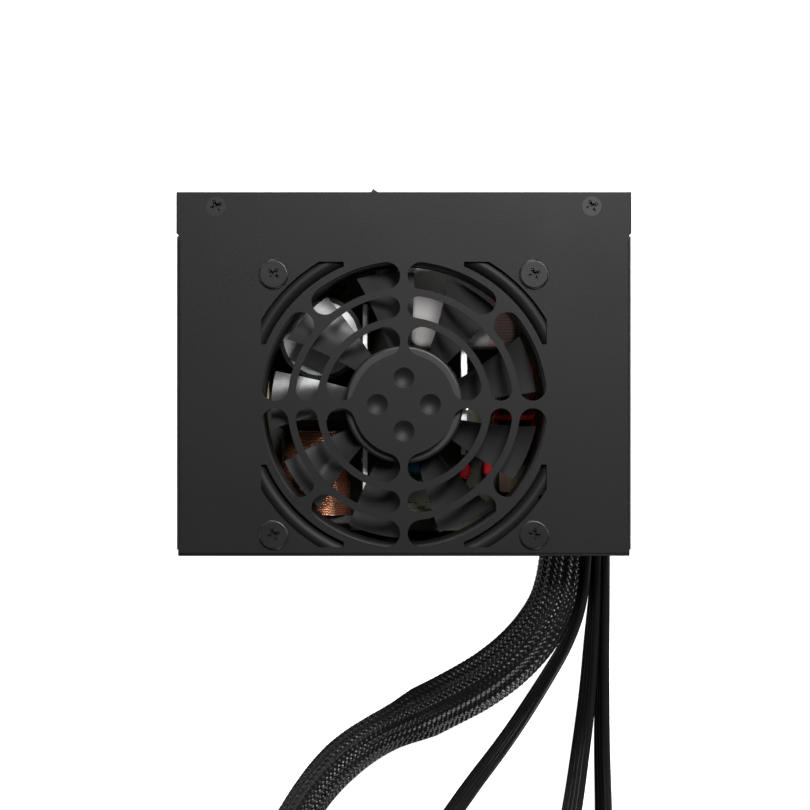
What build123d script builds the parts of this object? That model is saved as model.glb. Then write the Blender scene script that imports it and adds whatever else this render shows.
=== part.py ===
from build123d import *
import math
import os

# Power supply unit, lying on its base. Millimetres. Origin: centre of the base's underside.
# +Z is up (fan side), +Y is the mains side, -Y is the side that the leads come out of.

# ---- housing sizes ----
width = 125.0            # across the rear edge of the cover and the rear wall
depth = 100.0            # from the front lip to the rear wall's outer face
height = 63.5            # from the base to the fan face
sheet = 0.8              # steel sheet of cover and tray
side_step = 0.1          # how far each cover side stands inside the rear edge
lip_step = 0.5           # how far each end of the front lip stands inside the rear edge
bend_radius = 1.0        # outer radius of the cover's bends
rear_flange = 11.4       # length of the tray's rear side flanges
relief_length = 0.75     # bend relief between the cover's side and its rear strip
relief_depth = 0.45
lip_height = 10.0        # front lip of the cover
fit_gap = 0.1            # between cover and tray sheets
corner_cut = 1.8         # the sides stop this far behind the front lip's outer face

# ---- fan ----
fan_size = 80.0
fan_thick = 15.0
fan_wall_gap = 0.07      # between fan frame and front wall
fan_bore = 38.6
fan_duct_wall = 1.1
fan_flange = 3.4
fan_corner = 3.0
fan_mouth_round = 1.0    # rounding of the bore's upper edge
strut_width = 2.0
channel = (41.0, 46.0)   # ring channel in the corners of the fan frame, inner and outer radius
channel_depth = 2.0
ridge = (43.9, 2.4)      # round ridge in that channel: ring radius and its own radius
ridge_below = 0.2        # top of the ridge below the frame's face
lead_notch_y = 26.5      # notch for the fan's lead, this far in front of the fan's axis
fan_hole_pitch = 71.5
fan_hole = 4.3
blade_count = 9
blade_first = 16.2       # degrees, middle of the first blade
blade_span = 22.0        # degrees that a blade's root covers, seen from above
blade_widening = 0.18    # how much wider its tip is, as a share of the root's angle
blade_camber = 0.26      # sag of a blade's middle, as a share of its rise
blade_clear = 1.6        # between the blade tips and the bore
blade_height = 8.6
blade_sweep = 4.0        # degrees from root to tip
blade_thick = 1.3
hub_radius = 16.3
hub_drop = 2.0           # hub's face below the cover's underside
hub_height = 9.6
hub_wall = 1.4
hub_round = 0.8          # rounding of the hub's rim
shaft_dia = 3.0
bearing_dia = 6.0
run_gap = 0.05           # shaft in its bearing
spin_gap = 0.6           # between what turns and what stands

# ---- grille ----
disc_radius = 14.0
ring_edges = ((14.0, 22.0), (24.0, 30.0), (32.0, 39.4))
ring_slots = (4, 4, 8)
spoke = 2.05             # narrowest bar between two slots
corner_slot = (41.2, 45.6)
corner_slot_far = 39.2
corner_slot_near = 16.5
dimple_radius = 2.9
dimple_depth = 0.65
dimple_ring = 7.27
dimple_wall = 0.5

# ---- screws ----
fan_head = 8.2
fan_head_round = 0.55    # rounding of the head's rim
fan_head_rise = 0.9
fan_shank = 4.2
fan_screw_length = 8.0
cover_head = 5.5
cover_shank = 3.0
cover_screw_length = 5.0
cover_screw_x = 51.6
cover_screw_inset = 3.9  # from the rear edge
lip_screw_drop = 5.0     # from the fan face
thread_gap = 0.02        # between a cover screw's shank and its hole in the tray
head_gap = 0.05          # between a countersunk head and its seat
recess_length = 3.5      # cross recess at the head's face
recess_width = 0.95
recess_depth = 0.55
recess_core = (2.5, 1.6) # the recess's narrower core: length and depth

# ---- mains side ----
inlet_x = -41.6
switch_x = -12.7
panel_z = 31.75
inlet_body = (27.0, 19.6)
inlet_flange = (31.0, 23.6)
inlet_flange_thick = 1.6
inlet_recess = (24.6, 17.2)
inlet_recess_depth = 16.5
inlet_floor = 2.2
pin_spacing = 14.0
earth_offset = 4.0
pin_size = (2.0, 4.0)
pin_below_mouth = 5.6
switch_body = (19.2, 12.8)
switch_flange = (21.0, 15.0)
switch_flange_thick = 1.5
switch_depth = 14.0
rocker_half = 6.2
rocker_width = 9.4
rocker_tilt = 11.0       # degrees either side of its middle
rocker_dish = 6.0        # degrees that each half of its face rises
rocker_proud = 3.8       # raised end beyond the rear wall
rocker_ridge = 1.1       # height and half width of the ridge on each end of the rocker's face
rocker_pivot_in = 3.4    # pivot behind the rear wall's outer face
rocker_gap = 0.35
mount_spacing_x = 113.0
mount_spacing_z = 51.5
mount_hole = 3.5
vent_flat = 5.2
vent_pitch = 6.4
vent_first_x = 2.0
vent_columns = 9
vent_rows = 8

# ---- board ----
board_z = 8.0
board_thick = 1.6
board_x = 58.0
board_front = -46.0
board_back = 45.0
standoff_dia = 5.0
board_screw = 2.9
insulator_thick = 0.3

# ---- cable exit ----
exit_x = 49.35
exit_z = 27.3
exit_hole = (22.7, 17.0)
grommet_wall = 0.5
grommet_flange = 1.8
grommet_lip = 0.7

# ---- leads ----
main_dia = 13.0
ribbon_tube = 3.2
main_route = [
    (45.4, -44.0, 27.4), (45.3, -60.2, 27.6), (39.6, -74.2, 26.0), (27.2, -87.6, 20.8),
    (8.0, -99.2, 12.8), (-11.3, -110.8, 7.6), (-25.0, -122.3, 6.6), (-36.5, -140.5, 6.6),
    (-56.0, -157.0, 6.6), (-84.0, -166.5, 6.6), (-116.0, -168.0, 6.6), (-150.0, -164.0, 6.6),
    (-184.0, -165.5, 6.6),
]
cpu_route = [
    (53.2, -44.0, 31.5), (53.3, -61.0, 30.5), (50.9, -76.5, 22.5), (41.4, -91.5, 14.6),
    (31.0, -108.8, 7.2), (17.9, -126.3, 4.7), (3.0, -149.0, 4.7), (-17.0, -176.0, 4.7),
    (-50.0, -196.0, 4.7), (-94.0, -204.0, 4.7), (-142.0, -200.0, 4.7), (-195.0, -204.0, 4.7),
]
pcie_route = [
    (55.6, -44.0, 25.5), (55.8, -60.0, 25.0), (55.6, -78.0, 18.5), (54.9, -94.0, 11.0),
    (53.4, -110.0, 5.0), (50.0, -134.0, 4.7), (44.0, -163.0, 4.7), (24.0, -195.0, 4.7),
    (-10.0, -218.0, 4.7), (-52.0, -227.0, 4.7), (-100.0, -224.0, 4.7), (-148.0, -228.0, 4.7),
    (-196.0, -226.0, 4.7),
]
sata_route = [
    (58.3, -44.0, 31.0), (58.5, -60.0, 30.0), (59.0, -78.0, 20.0), (59.4, -94.0, 11.0),
    (59.9, -110.0, 5.0), (61.0, -136.0, 4.7), (60.0, -171.0, 4.7), (45.0, -209.0, 4.7),
    (14.0, -237.0, 4.7), (-30.0, -250.0, 4.7), (-76.0, -248.0, 4.7), (-120.0, -252.0, 4.7),
    (-160.0, -250.0, 4.7),
]
lead_start = 44.0        # the leads begin this far in front of the housing's middle
inline_at = (-53.0, -249.0)  # middle of the drive lead's first connector

# ---- derived ----
top_under = height - sheet
rear_out = depth / 2
rear_in = rear_out - sheet
front_out = -depth / 2
front_wall_out = front_out + sheet
front_wall_in = front_wall_out + sheet
fan_y = front_wall_in + fan_wall_gap + fan_size / 2
fan_top = top_under
fan_bottom = fan_top - fan_thick
blade_tip = fan_bore - blade_clear
hub_top = fan_top - hub_drop
hub_bottom = hub_top - hub_height
board_top = board_z + board_thick
side_out = width / 2 - side_step
side_in = side_out - sheet
tray_side = side_in - fit_gap
flange_start = rear_out - rear_flange


def block(x0, x1, y0, y1, z0, z1):
    """A box between two corners."""
    centre = Location(((x0 + x1) / 2, (y0 + y1) / 2, (z0 + z1) / 2))
    return centre * Box(x1 - x0, y1 - y0, z1 - z0)


def post(x, y, z0, z1, radius):
    """An upright cylinder."""
    return Location((x, y, (z0 + z1) / 2)) * Cylinder(radius, z1 - z0)


def rod(a, b, radius):
    """A round rod between two points."""
    a, b = Vector(*a), Vector(*b)
    plane = Plane(origin=a, z_dir=b - a)
    return extrude(plane * Circle(radius), (b - a).length)


def panel_shape(x, z, size, y0, y1, corner=1.0):
    """A rounded rectangle in the XZ plane, from y0 to y1."""
    sketch = RectangleRounded(size[0], size[1], corner)
    plane = Plane(origin=(x, y0, z), x_dir=(1, 0, 0), z_dir=(0, 1, 0))
    return extrude(plane * sketch, y1 - y0)


def panel_hole(x, z, radius, y0, y1):
    """A cylinder along Y."""
    plane = Plane(origin=(x, y0, z), x_dir=(1, 0, 0), z_dir=(0, 1, 0))
    return extrude(plane * Circle(radius), y1 - y0)


def write(node, *shapes):
    """Write one node, a single solid or a group of separate ones."""
    solids = [solid for shape in shapes for solid in shape.solids()]
    result = solids[0] if len(solids) == 1 else Compound(children=solids)
    export_step(result, f"parts/{node}.step")


def fan_corners():
    """The four screw places of the fan."""
    half = fan_hole_pitch / 2
    return [(sx * half, fan_y + sy * half) for sx in (-1, 1) for sy in (-1, 1)]


# ---------------------------------------------------------------- housing
def ring_slot(inner, outer, start, end):
    """A curved slot with round ends, between two angles measured at its bars' middles."""
    middle, half = (inner + outer) / 2, (outer - inner) / 2
    trim = math.degrees(math.asin((spoke / 2 + half) / middle))
    arc = CenterArc((0, 0), middle, start + trim, end - start - 2 * trim)
    return SlotArc(arc, 2 * half)


def grille_cuts():
    """Everything punched out of the fan face, as one flat sketch about the fan's axis."""
    cuts = Sketch()
    for (inner, outer), count in zip(ring_edges, ring_slots):
        step = 360 / count
        for index in range(count):
            cuts += ring_slot(inner, outer, index * step, (index + 1) * step)
    window = corner_slot_far - corner_slot_near
    place = (corner_slot_far + corner_slot_near) / 2
    corner = (Circle(corner_slot[1]) - Circle(corner_slot[0])) & (
        Location((place, place)) * Rectangle(window, window)
    )
    for index in range(4):
        cuts += Rotation(0, 0, 90 * index) * corner
    return cuts


def top_cover():
    """Fan face, two sides and the front lip, bent from one sheet."""
    side_end = flange_start - relief_length
    outline = Rectangle(2 * side_out, height, align=(Align.CENTER, Align.MIN))
    inner = Rectangle(2 * side_in, height - sheet, align=(Align.CENTER, Align.MIN))
    upper = outline.vertices().sort_by(Axis.Y)[-2:]
    shell = fillet(upper, bend_radius)
    inner_upper = inner.vertices().sort_by(Axis.Y)[-2:]
    hollow = fillet(inner_upper, bend_radius - sheet)
    start = front_out + corner_cut
    plane = Plane(origin=(0, start, 0), x_dir=(1, 0, 0), z_dir=(0, -1, 0))
    body = extrude(plane * (shell - hollow), -(side_end - start))
    rear = block(-width / 2, width / 2, flange_start, rear_out, top_under, height)
    neck = side_out - relief_depth
    body += rear + block(-neck, neck, side_end - 1, flange_start + 1, top_under, height)
    lip_half = width / 2 - lip_step
    lip_outline = Rectangle(corner_cut + 2, lip_height, align=(Align.MIN, Align.MAX))
    lip_cut = Location((sheet, -sheet)) * Rectangle(9, lip_height, align=(Align.MIN, Align.MAX))
    bend = lip_outline.vertices().group_by(Axis.Y)[-1].sort_by(Axis.X)[0]
    lip_section = fillet(bend, bend_radius) - lip_cut
    lip_plane = Plane(origin=(-lip_half, front_out, height), x_dir=(0, 1, 0), z_dir=(1, 0, 0))
    body += extrude(lip_plane * lip_section, 2 * lip_half)
    face = Plane(origin=(0, fan_y, top_under - 1))
    body -= extrude(face * grille_cuts(), sheet + 2)
    bowl = (dimple_radius ** 2 + dimple_depth ** 2) / (2 * dimple_depth)
    for index in range(4):
        angle = math.radians(90 * index)
        x, y = dimple_ring * math.cos(angle), fan_y + dimple_ring * math.sin(angle)
        body += post(x, y, top_under - dimple_wall, height, dimple_radius + dimple_wall)
        body -= Location((x, y, height + bowl - dimple_depth)) * Sphere(bowl)
    for x, y in fan_corners():
        body -= post(x, y, top_under - 1, height + 1, fan_hole / 2 + 0.2)
    for place in cover_screw_places() + lip_screw_places():
        body -= countersunk(place, head_gap, cover_screw_length + 1)
    return body


def cover_screw_places():
    """The two screws along the rear edge of the fan face, Z out of the sheet."""
    y = rear_out - cover_screw_inset
    return [Plane(origin=(x, y, height)) for x in (-cover_screw_x, cover_screw_x)]


def lip_screw_places():
    """The two screws in the front lip, Z out of the sheet."""
    z = height - lip_screw_drop
    return [Plane(origin=(x, front_out, z), x_dir=(1, 0, 0), z_dir=(0, -1, 0))
            for x in (-cover_screw_x, cover_screw_x)]


def countersunk(place, gap, length):
    """A countersunk screw's shape with its top at a place, larger by gap all round."""
    radius = cover_shank / 2 + gap
    head = Location((0, 0, -sheet / 2)) * Cone(radius, cover_head / 2 + gap, sheet)
    shank = Location((0, 0, -(length + sheet) / 2)) * Cylinder(radius, length - sheet)
    return place * (head + shank)


def hexagon_vents():
    """Honeycomb of the rear wall, as one flat sketch in X and Z."""
    vents = Sketch()
    row_pitch = vent_pitch * math.sqrt(3) / 2
    first_z = panel_z - row_pitch * (vent_rows - 1) / 2
    for row in range(vent_rows):
        shift = vent_pitch / 2 if row % 2 else 0
        for column in range(vent_columns):
            place = Location((vent_first_x + column * vent_pitch + shift, first_z + row * row_pitch))
            hexagon = RegularPolygon(vent_flat / 2, 6, major_radius=False, rotation=30)
            vents += place * hexagon
    return vents


def bottom_tray():
    """Base, rear wall with its flanges, and front wall with the lead hole."""
    body = block(-tray_side, tray_side, front_wall_out, rear_out, 0, sheet)
    body += block(-width / 2, width / 2, rear_in, rear_out, 0, top_under)
    body += block(-tray_side, tray_side, front_wall_out, front_wall_in, 0, top_under - fit_gap)
    for side in (-1, 1):
        low, high = sorted((side * width / 2, side * (width / 2 - sheet)))
        body += block(low, high, flange_start, rear_out, 0, top_under)
        tab_low, tab_high = sorted((side * (width / 2 - sheet), side * (cover_screw_x - 5)))
        body += block(tab_low, tab_high, rear_in - 8, rear_in, top_under - 1.2, top_under)
        tab_low, tab_high = sorted((side * tray_side, side * (tray_side - sheet)))
        body += block(tab_low, tab_high, front_wall_in, flange_start - 3, sheet, sheet + 7)
    back = Plane(origin=(0, rear_out + 1, 0), x_dir=(1, 0, 0), z_dir=(0, -1, 0))
    body -= extrude(back * hexagon_vents(), sheet + 2)
    body -= panel_shape(inlet_x, panel_z, [size + 0.2 for size in inlet_body], rear_in - 1, rear_out + 1)
    body -= panel_shape(switch_x, panel_z, [size + 0.2 for size in switch_body], rear_in - 1, rear_out + 1)
    for x in (-mount_spacing_x / 2, mount_spacing_x / 2):
        for z in (-mount_spacing_z / 2, mount_spacing_z / 2):
            body -= panel_hole(x, height / 2 + z, mount_hole / 2, rear_in - 1, rear_out + 1)
    body -= panel_shape(exit_x, exit_z, exit_hole, front_wall_out - 1, front_wall_in + 1, 5.0)
    for column in range(12):
        for row in range(2):
            x, z = -50 + column * 6.5, 18 + row * 22
            body -= panel_shape(x, z, (2.6, 15.0), front_wall_out - 1, front_wall_in + 1, 1.2)
    for place in cover_screw_places() + lip_screw_places():
        body -= place * Cylinder(cover_shank / 2 + thread_gap, 2 * cover_screw_length)
    return body


def cross_recess(plane):
    """Cross recess to cut into a screw head whose top is the plane."""
    cut = Part()
    for length, deep in ((recess_length, recess_depth), recess_core):
        bar = Rectangle(length, recess_width) + Rectangle(recess_width, length)
        cut += extrude(plane * bar, -deep) + extrude(plane * bar, recess_depth)
    return cut


def fan_screws():
    """Flat wide heads on the fan face, with shanks in the fan frame."""
    screws = []
    for index, (x, y) in enumerate(fan_corners()):
        head = post(x, y, height, height + fan_head_rise, fan_head / 2)
        head = fillet(head.edges().group_by(Axis.Z)[-1], fan_head_round)
        screw = head + post(x, y, height - fan_screw_length, height, fan_shank / 2)
        plane = Plane(origin=(x, y, height + fan_head_rise)).rotated((0, 0, 20 + 31 * index))
        screws.append(screw - cross_recess(plane))
    return screws


def cover_screws():
    """Two countersunk screws on the fan face and two on the front lip."""
    return [countersunk(place, 0, cover_screw_length) - cross_recess(place.rotated((0, 0, 25)))
            for place in cover_screw_places() + lip_screw_places()]


# ---------------------------------------------------------------- fan
def fan_frame():
    """Square frame with a round duct, four struts, motor base and bearing tube."""
    square = RectangleRounded(fan_size, fan_size, fan_corner)
    body = Part()
    for z in (fan_bottom, fan_top - fan_flange):
        body += extrude(Plane(origin=(0, fan_y, z)) * square, fan_flange)
    duct = post(0, fan_y, fan_bottom, fan_top, fan_bore + fan_duct_wall)
    duct &= block(-fan_size / 2, fan_size / 2, fan_y - fan_size / 2, fan_y + fan_size / 2, fan_bottom, fan_top)
    body += duct
    body -= post(0, fan_y, fan_bottom - 1, fan_top + 1, fan_bore)
    body -= post(0, fan_y, fan_top - channel_depth, fan_top + 1, channel[1]) - post(
        0, fan_y, fan_bottom, fan_top + 2, channel[0])
    mouth = post(0, fan_y, fan_top - fan_mouth_round, fan_top + 1, fan_bore + fan_mouth_round)
    rim = Torus(fan_bore + fan_mouth_round, fan_mouth_round)
    body -= mouth - Location((0, fan_y, fan_top - fan_mouth_round)) * rim
    bead = Location((0, fan_y, fan_top - ridge[1] - ridge_below)) * Torus(*ridge)
    body += bead & extrude(Plane(origin=(0, fan_y, fan_top - fan_flange)) * square, fan_flange)
    for x, y in fan_corners():
        body -= post(x, y, fan_bottom - 1, fan_top + 1, fan_hole / 2)
    lead_x, lead_y = fan_size / 2, fan_y - lead_notch_y
    body -= block(lead_x - 3, lead_x + 1, lead_y - 1.5, lead_y + 1.5, fan_top - fan_flange - 1, fan_top + 1)
    strut_top = fan_bottom + 2.2
    for angle in (0, 90, 180, 270):
        strut = block(hub_radius - 2, fan_bore + 0.6, -strut_width / 2, strut_width / 2, fan_bottom, strut_top)
        body += Location((0, fan_y, 0)) * Rotation(0, 0, angle) * strut
    body += post(0, fan_y, fan_bottom, strut_top, hub_radius)
    body += post(0, fan_y, fan_bottom, hub_top - 4.5, bearing_dia / 2 + 1.0)
    body -= post(0, fan_y, fan_bottom + 1, hub_top, bearing_dia / 2)
    return body


def blade(angle):
    """One blade, from the hub's wall to the tip circle."""
    sections = []
    for radius in (hub_radius - 0.6, (hub_radius + blade_tip) / 2, blade_tip + 0.8):
        share = (radius - hub_radius) / (blade_tip - hub_radius)
        span = blade_span * (1 + blade_widening * share)
        chord = 2 * radius * math.sin(math.radians(span / 2))
        rise = blade_height * (1 - 0.16 * share)
        turn = angle + blade_sweep * (share - 0.5)
        thick = blade_thick * (1 - 0.3 * share)
        middle = (hub_top + hub_bottom) / 2 + 0.1
        base = Location((0, fan_y, middle)) * Rotation(0, 0, turn)
        points = [(-chord / 2, -rise / 2), (0, -rise * blade_camber), (chord / 2, rise / 2)]
        upper = Spline(*points)
        lower = Spline(*[(x, y - thick) for x, y in points])
        ends = [Line(upper @ 0, lower @ 0), Line(upper @ 1, lower @ 1)]
        profile = make_face([upper, lower] + ends)
        plane = Plane(origin=(radius, 0, 0), x_dir=(0, 1, 0), z_dir=(1, 0, 0))
        sections.append(base * (plane * profile))
    return loft(sections)


def fan_rotor():
    """Hub cup with its blades."""
    cup = post(0, fan_y, hub_bottom, hub_top, hub_radius)
    rim = cup.edges().group_by(Axis.Z)[-1]
    cup = fillet(rim, hub_round)
    cup -= post(0, fan_y, hub_bottom - 1, hub_top - hub_wall, hub_radius - hub_wall)
    boss = post(0, fan_y, hub_top - 4.0, hub_top - hub_wall + 0.2, 3.4)
    cup = cup + boss - post(0, fan_y, hub_bottom, hub_top - 0.8, shaft_dia / 2)
    tip = post(0, fan_y, fan_bottom, fan_top, blade_tip)
    tip -= post(0, fan_y, fan_bottom, fan_top, hub_radius - hub_wall / 2)
    for index in range(blade_count):
        cup += blade(blade_first + index * 360 / blade_count) & tip
    return cup


def fan_inner():
    """Shaft, magnet ring, bearing, stator and the fan's own board."""
    strut_top = fan_bottom + 2.2
    shaft = post(0, fan_y, fan_bottom + 1.6, hub_top - 0.8, shaft_dia / 2)
    magnet = post(0, fan_y, hub_bottom + 0.4, hub_top - hub_wall - 0.4, hub_radius - hub_wall)
    magnet -= post(0, fan_y, hub_bottom, hub_top, hub_radius - hub_wall - 1.8)
    bearing = post(0, fan_y, fan_bottom + 1.2, hub_top - 4.6, bearing_dia / 2)
    bearing -= post(0, fan_y, fan_bottom, hub_top, shaft_dia / 2 + run_gap)
    core = post(0, fan_y, strut_top + 2.4, strut_top + 6.2, hub_radius - hub_wall - 1.8 - spin_gap)
    arms = Part()
    for angle in (0, 90, 180, 270):
        gap = block(5.5, 9.6, -5.2, -2.4, 0, 80) + block(5.5, 9.6, 2.4, 5.2, 0, 80)
        gap += block(9, 20, -0.9 + 6.0, 0.9 + 6.0, 0, 80)
        arms += Location((0, fan_y, 0)) * Rotation(0, 0, angle) * gap
    core -= arms
    core -= post(0, fan_y, fan_bottom, hub_top, bearing_dia / 2 + 1.0)
    board = post(0, fan_y, strut_top, strut_top + 1.0, hub_radius - 2.2)
    board -= post(0, fan_y, fan_bottom, hub_top, bearing_dia / 2 + 1.0)
    write("fan_shaft", shaft)
    write("fan_magnet", magnet)
    write("fan_bearing", bearing)
    write("fan_stator", core, board)


# ---------------------------------------------------------------- mains side
def inlet():
    """Mains inlet: flanged body with its recess, and three pins."""
    mouth = rear_out + inlet_flange_thick
    floor = mouth - inlet_recess_depth
    body = panel_shape(inlet_x, panel_z, inlet_flange, rear_out, mouth, 2.0)
    body += panel_shape(inlet_x, panel_z, inlet_body, floor - inlet_floor, rear_out)
    recess = Rectangle(*inlet_recess)
    recess = chamfer(recess.vertices().group_by(Axis.Y)[-1], 4.0)
    plane = Plane(origin=(inlet_x, mouth + 1, panel_z), x_dir=(1, 0, 0), z_dir=(0, -1, 0))
    body -= extrude(plane * recess, inlet_recess_depth + 1)
    pins = []
    for x, z in ((-pin_spacing / 2, -2.0), (pin_spacing / 2, -2.0), (0, earth_offset - 2.0)):
        low_x, low_z = inlet_x + x - pin_size[0] / 2, panel_z + z - pin_size[1] / 2
        pin = block(low_x, low_x + pin_size[0], floor - inlet_floor - 7, mouth - pin_below_mouth,
                    low_z, low_z + pin_size[1])
        body -= pin
        pins.append(pin)
    write("ac_inlet_body", body)
    write("ac_inlet_pins", *pins)


def rocker_pivot():
    """Place of the rocker's upright axis."""
    return switch_x, rear_out - rocker_pivot_in


def switch():
    """Mains rocker switch: body, rocker tilted to one side, and terminals."""
    pivot_x, pivot_y = rocker_pivot()
    front = rear_out + switch_flange_thick
    body = panel_shape(switch_x, panel_z, switch_flange, rear_out, front, 1.5)
    body += panel_shape(switch_x, panel_z, switch_body, rear_out - switch_depth, rear_out, 0.8)
    opening = rocker_half + 1.4
    body -= block(switch_x - opening, switch_x + opening, rear_out - 8.5, front + 1,
                  panel_z - rocker_width / 2 - rocker_gap, panel_z + rocker_width / 2 + rocker_gap)
    tilt = math.radians(rocker_tilt)
    end_v = (rocker_proud + rocker_pivot_in - rocker_half * math.sin(tilt)) / math.cos(tilt)
    centre_v = end_v - rocker_ridge - rocker_half * math.tan(math.radians(rocker_dish))
    waist = rocker_half - 1.6
    ridge_u, ridge_v = rocker_half - rocker_ridge, end_v - rocker_ridge
    right = [(rocker_half, ridge_v), (ridge_u, end_v), (ridge_u - rocker_ridge, ridge_v)]
    left = [(-u, v) for u, v in right]
    foot = [(-1.5, -3.2), (1.5, -3.2)]
    outline = Polyline(*left, (0, centre_v), *reversed(right), (waist, 0), *reversed(foot), (-waist, 0), close=True)
    profile = make_face(outline)
    profile = Rotation(0, 0, rocker_tilt) * profile
    plane = Plane(origin=(pivot_x, pivot_y, panel_z - rocker_width / 2))
    rocker = extrude(plane * profile, rocker_width)
    rocker += post(pivot_x, pivot_y, panel_z - rocker_width / 2 - 1.2, panel_z + rocker_width / 2 + 1.2, 1.2)
    body -= post(pivot_x, pivot_y, panel_z - rocker_width / 2 - 1.5, panel_z + rocker_width / 2 + 1.5, 1.2 + run_gap)
    back = rear_out - switch_depth
    blades = [block(switch_x + x - 0.4, switch_x + x + 0.4, back - 8, back + 2, panel_z - 2.4, panel_z + 2.4)
              for x in (-5, 5)]
    for terminal in blades:
        body -= terminal
    write("switch_body", body)
    write("switch_rocker", rocker)
    write("switch_terminals", *blades)


def bend_radii(points):
    """For each inner point, 0.45 of the shorter run over the tangent of half the turn."""
    radii = []
    for before, here, after in zip(points, points[1:], points[2:]):
        first, second = Vector(*here) - Vector(*before), Vector(*after) - Vector(*here)
        half_turn = math.radians(first.get_angle(second)) / 2
        radii.append(0.45 * min(first.length, second.length) / math.tan(half_turn))
    return radii


def sweep_round(points, radius, name):
    """A round tube on straight runs joined by arcs; a named one prints its bends."""
    radii = bend_radii(points)
    path = FilletPolyline(*points, radius=radii)
    section = Plane(origin=path @ 0, z_dir=path % 0) * Circle(radius)
    tube = sweep(section, path=path)
    if name:
        ratio = tube.volume / (math.pi * radius ** 2 * path.length)
        print(name, "length", round(path.length, 1), "volume ratio", round(ratio, 3),
              "radii", [round(value) for value in radii])
    return tube


# ---------------------------------------------------------------- board and what stands on it
def board():
    """Insulating sheet, circuit board, standoffs and their screws."""
    places = [(x, y) for x in (-55, 55) for y in (-37.3, 40)]
    circuit = block(-board_x, board_x, board_front, board_back, board_z, board_top)
    insulator = block(-board_x, board_x, board_front, board_back, sheet, sheet + insulator_thick)
    standoffs, screws = [], []
    for x, y in places:
        circuit -= post(x, y, board_z - 1, board_top + 1, board_screw / 2 + 0.1)
        insulator -= post(x, y, 0, 3, standoff_dia / 2 + 0.3)
        standoff = post(x, y, sheet, board_z, standoff_dia / 2)
        standoffs.append(standoff - post(x, y, board_z - 5, board_z + 1, board_screw / 2))
        head = post(x, y, board_top, board_top + 1.8, board_screw)
        screw = head + post(x, y, board_z - 4.5, board_top, board_screw / 2)
        screws.append(screw - cross_recess(Plane(origin=(x, y, board_top + 1.8))))
    write("main_board", circuit)
    write("insulating_sheet", insulator)
    write("board_standoffs", *standoffs)
    return screws


def can(x, y, radius, top, groove=0.5):
    """An electrolytic can with the pinched ring near its foot and a rolled rim."""
    body = post(x, y, board_top, top, radius)
    body = fillet(body.edges().group_by(Axis.Z)[-1], 0.8)
    ring = Location((x, y, board_top + 3.5)) * Torus(radius + 0.35, groove + 0.35)
    return body - ring


def bulk_capacitor():
    """Large mains capacitor: aluminium can with a scored top in a plain sleeve."""
    x, y, radius, top, wall = -23.5, 10.5, 11.8, 44.0, 0.35
    score, score_deep = 0.4, 0.25
    metal = post(x, y, board_top + 1, top, radius - wall)
    for angle in (20, 110):
        bar = Location((x, y, top)) * Rotation(0, 0, angle) * Box(1.3 * radius, score, 2 * score_deep)
        metal -= bar
    sleeve = post(x, y, board_top, top + 0.25, radius)
    sleeve -= post(x, y, board_top + 1, top, radius - wall)
    sleeve -= post(x, y, top - 1, top + 1, radius - 1.2)
    write("bulk_capacitor", metal)
    write("bulk_capacitor_sleeve", sleeve)


def heatsinks():
    """Two aluminium plates, the parts clamped to them, and the clamp screws."""
    x0, x1 = -11.6, -10.4
    primary = block(x0, x1, -42, 20, board_top, 45)
    for y in (-8, -3):
        primary -= block(x0 - 1, x1 + 1, y, y + 2, 32, 41)
    second_x0, second_x1 = 16.2, 17.8
    second = block(second_x0, second_x1, -16, 7.5, board_top, 45)
    second += block(second_x1, second_x1 + 7, -16, -14.6, board_top, 45)
    clamps, packages = [], []
    for y in (-37, -24, -11, 2):
        z = 26
        plate = block(x1, x1 + 4.4, y - 5, y + 5, 16, 31)
        plate -= rod((x1 - 1, y, z), (x1 + 6, y, z), 1.6)
        legs = Part()
        for offset in (-2.5, 0, 2.5):
            legs += block(x1 + 2, x1 + 2.6, y + offset - 0.4, y + offset + 0.4, board_top, 16)
        packages.append(plate + legs)
        clamps.append(rod((x0 - 0.8, y, z), (x1 + 4.4, y, z), 1.5)
                      + rod((x1 + 4.4, y, z), (x1 + 6.2, y, z), 2.8))
        primary -= rod((x0 - 1, y, z), (x1 + 1, y, z), 1.55)
    for y in (-10, 2):
        plate = block(second_x0 - 4.4, second_x0, y - 5, y + 5, 16, 31)
        plate -= rod((second_x0 - 6, y, 26), (second_x1, y, 26), 1.6)
        packages.append(plate + block(second_x0 - 2.6, second_x0 - 2, y - 0.4, y + 0.4, board_top, 16))
        clamps.append(rod((second_x1 + 0.8, y, 26), (second_x0 - 4.4, y, 26), 1.5)
                      + rod((second_x0 - 6.2, y, 26), (second_x0 - 4.4, y, 26), 2.8))
        second -= rod((second_x0 - 1, y, 26), (second_x1 + 1, y, 26), 1.55)
    write("primary_heatsink", primary)
    write("secondary_heatsink", second)
    write("power_transistors", *packages)
    return clamps


def boost_choke():
    """Copper-wound choke lying along Y between two ferrite cheeks."""
    x0, x1, y0, y1, top = -36.0, -15.0, -42.5, -13.0, 38.0
    cheek, cheek_top = 2.2, 34.0
    low = board_top + 1.5
    core = block(x0, x1, y0, y0 + cheek, low, cheek_top) + block(x0, x1, y1 - cheek, y1, low, cheek_top)
    middle_x, middle_z = (x0 + x1) / 2, (low + top) / 2
    core += panel_hole(middle_x, middle_z, 4.5, y0 + cheek - 0.1, y1 - cheek + 0.1)
    size = (x1 - x0 - 0.8, top - low - 0.4)
    winding = panel_shape(middle_x, middle_z, size, y0 + cheek, y1 - cheek, 8.0)
    winding -= panel_hole(middle_x, middle_z, 4.5, y0, y1)
    foot = block(x0 + 1, x1 - 1, y0, y1, board_top, low)
    write("boost_choke_core", core)
    write("boost_choke_winding", winding)
    return foot


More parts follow.
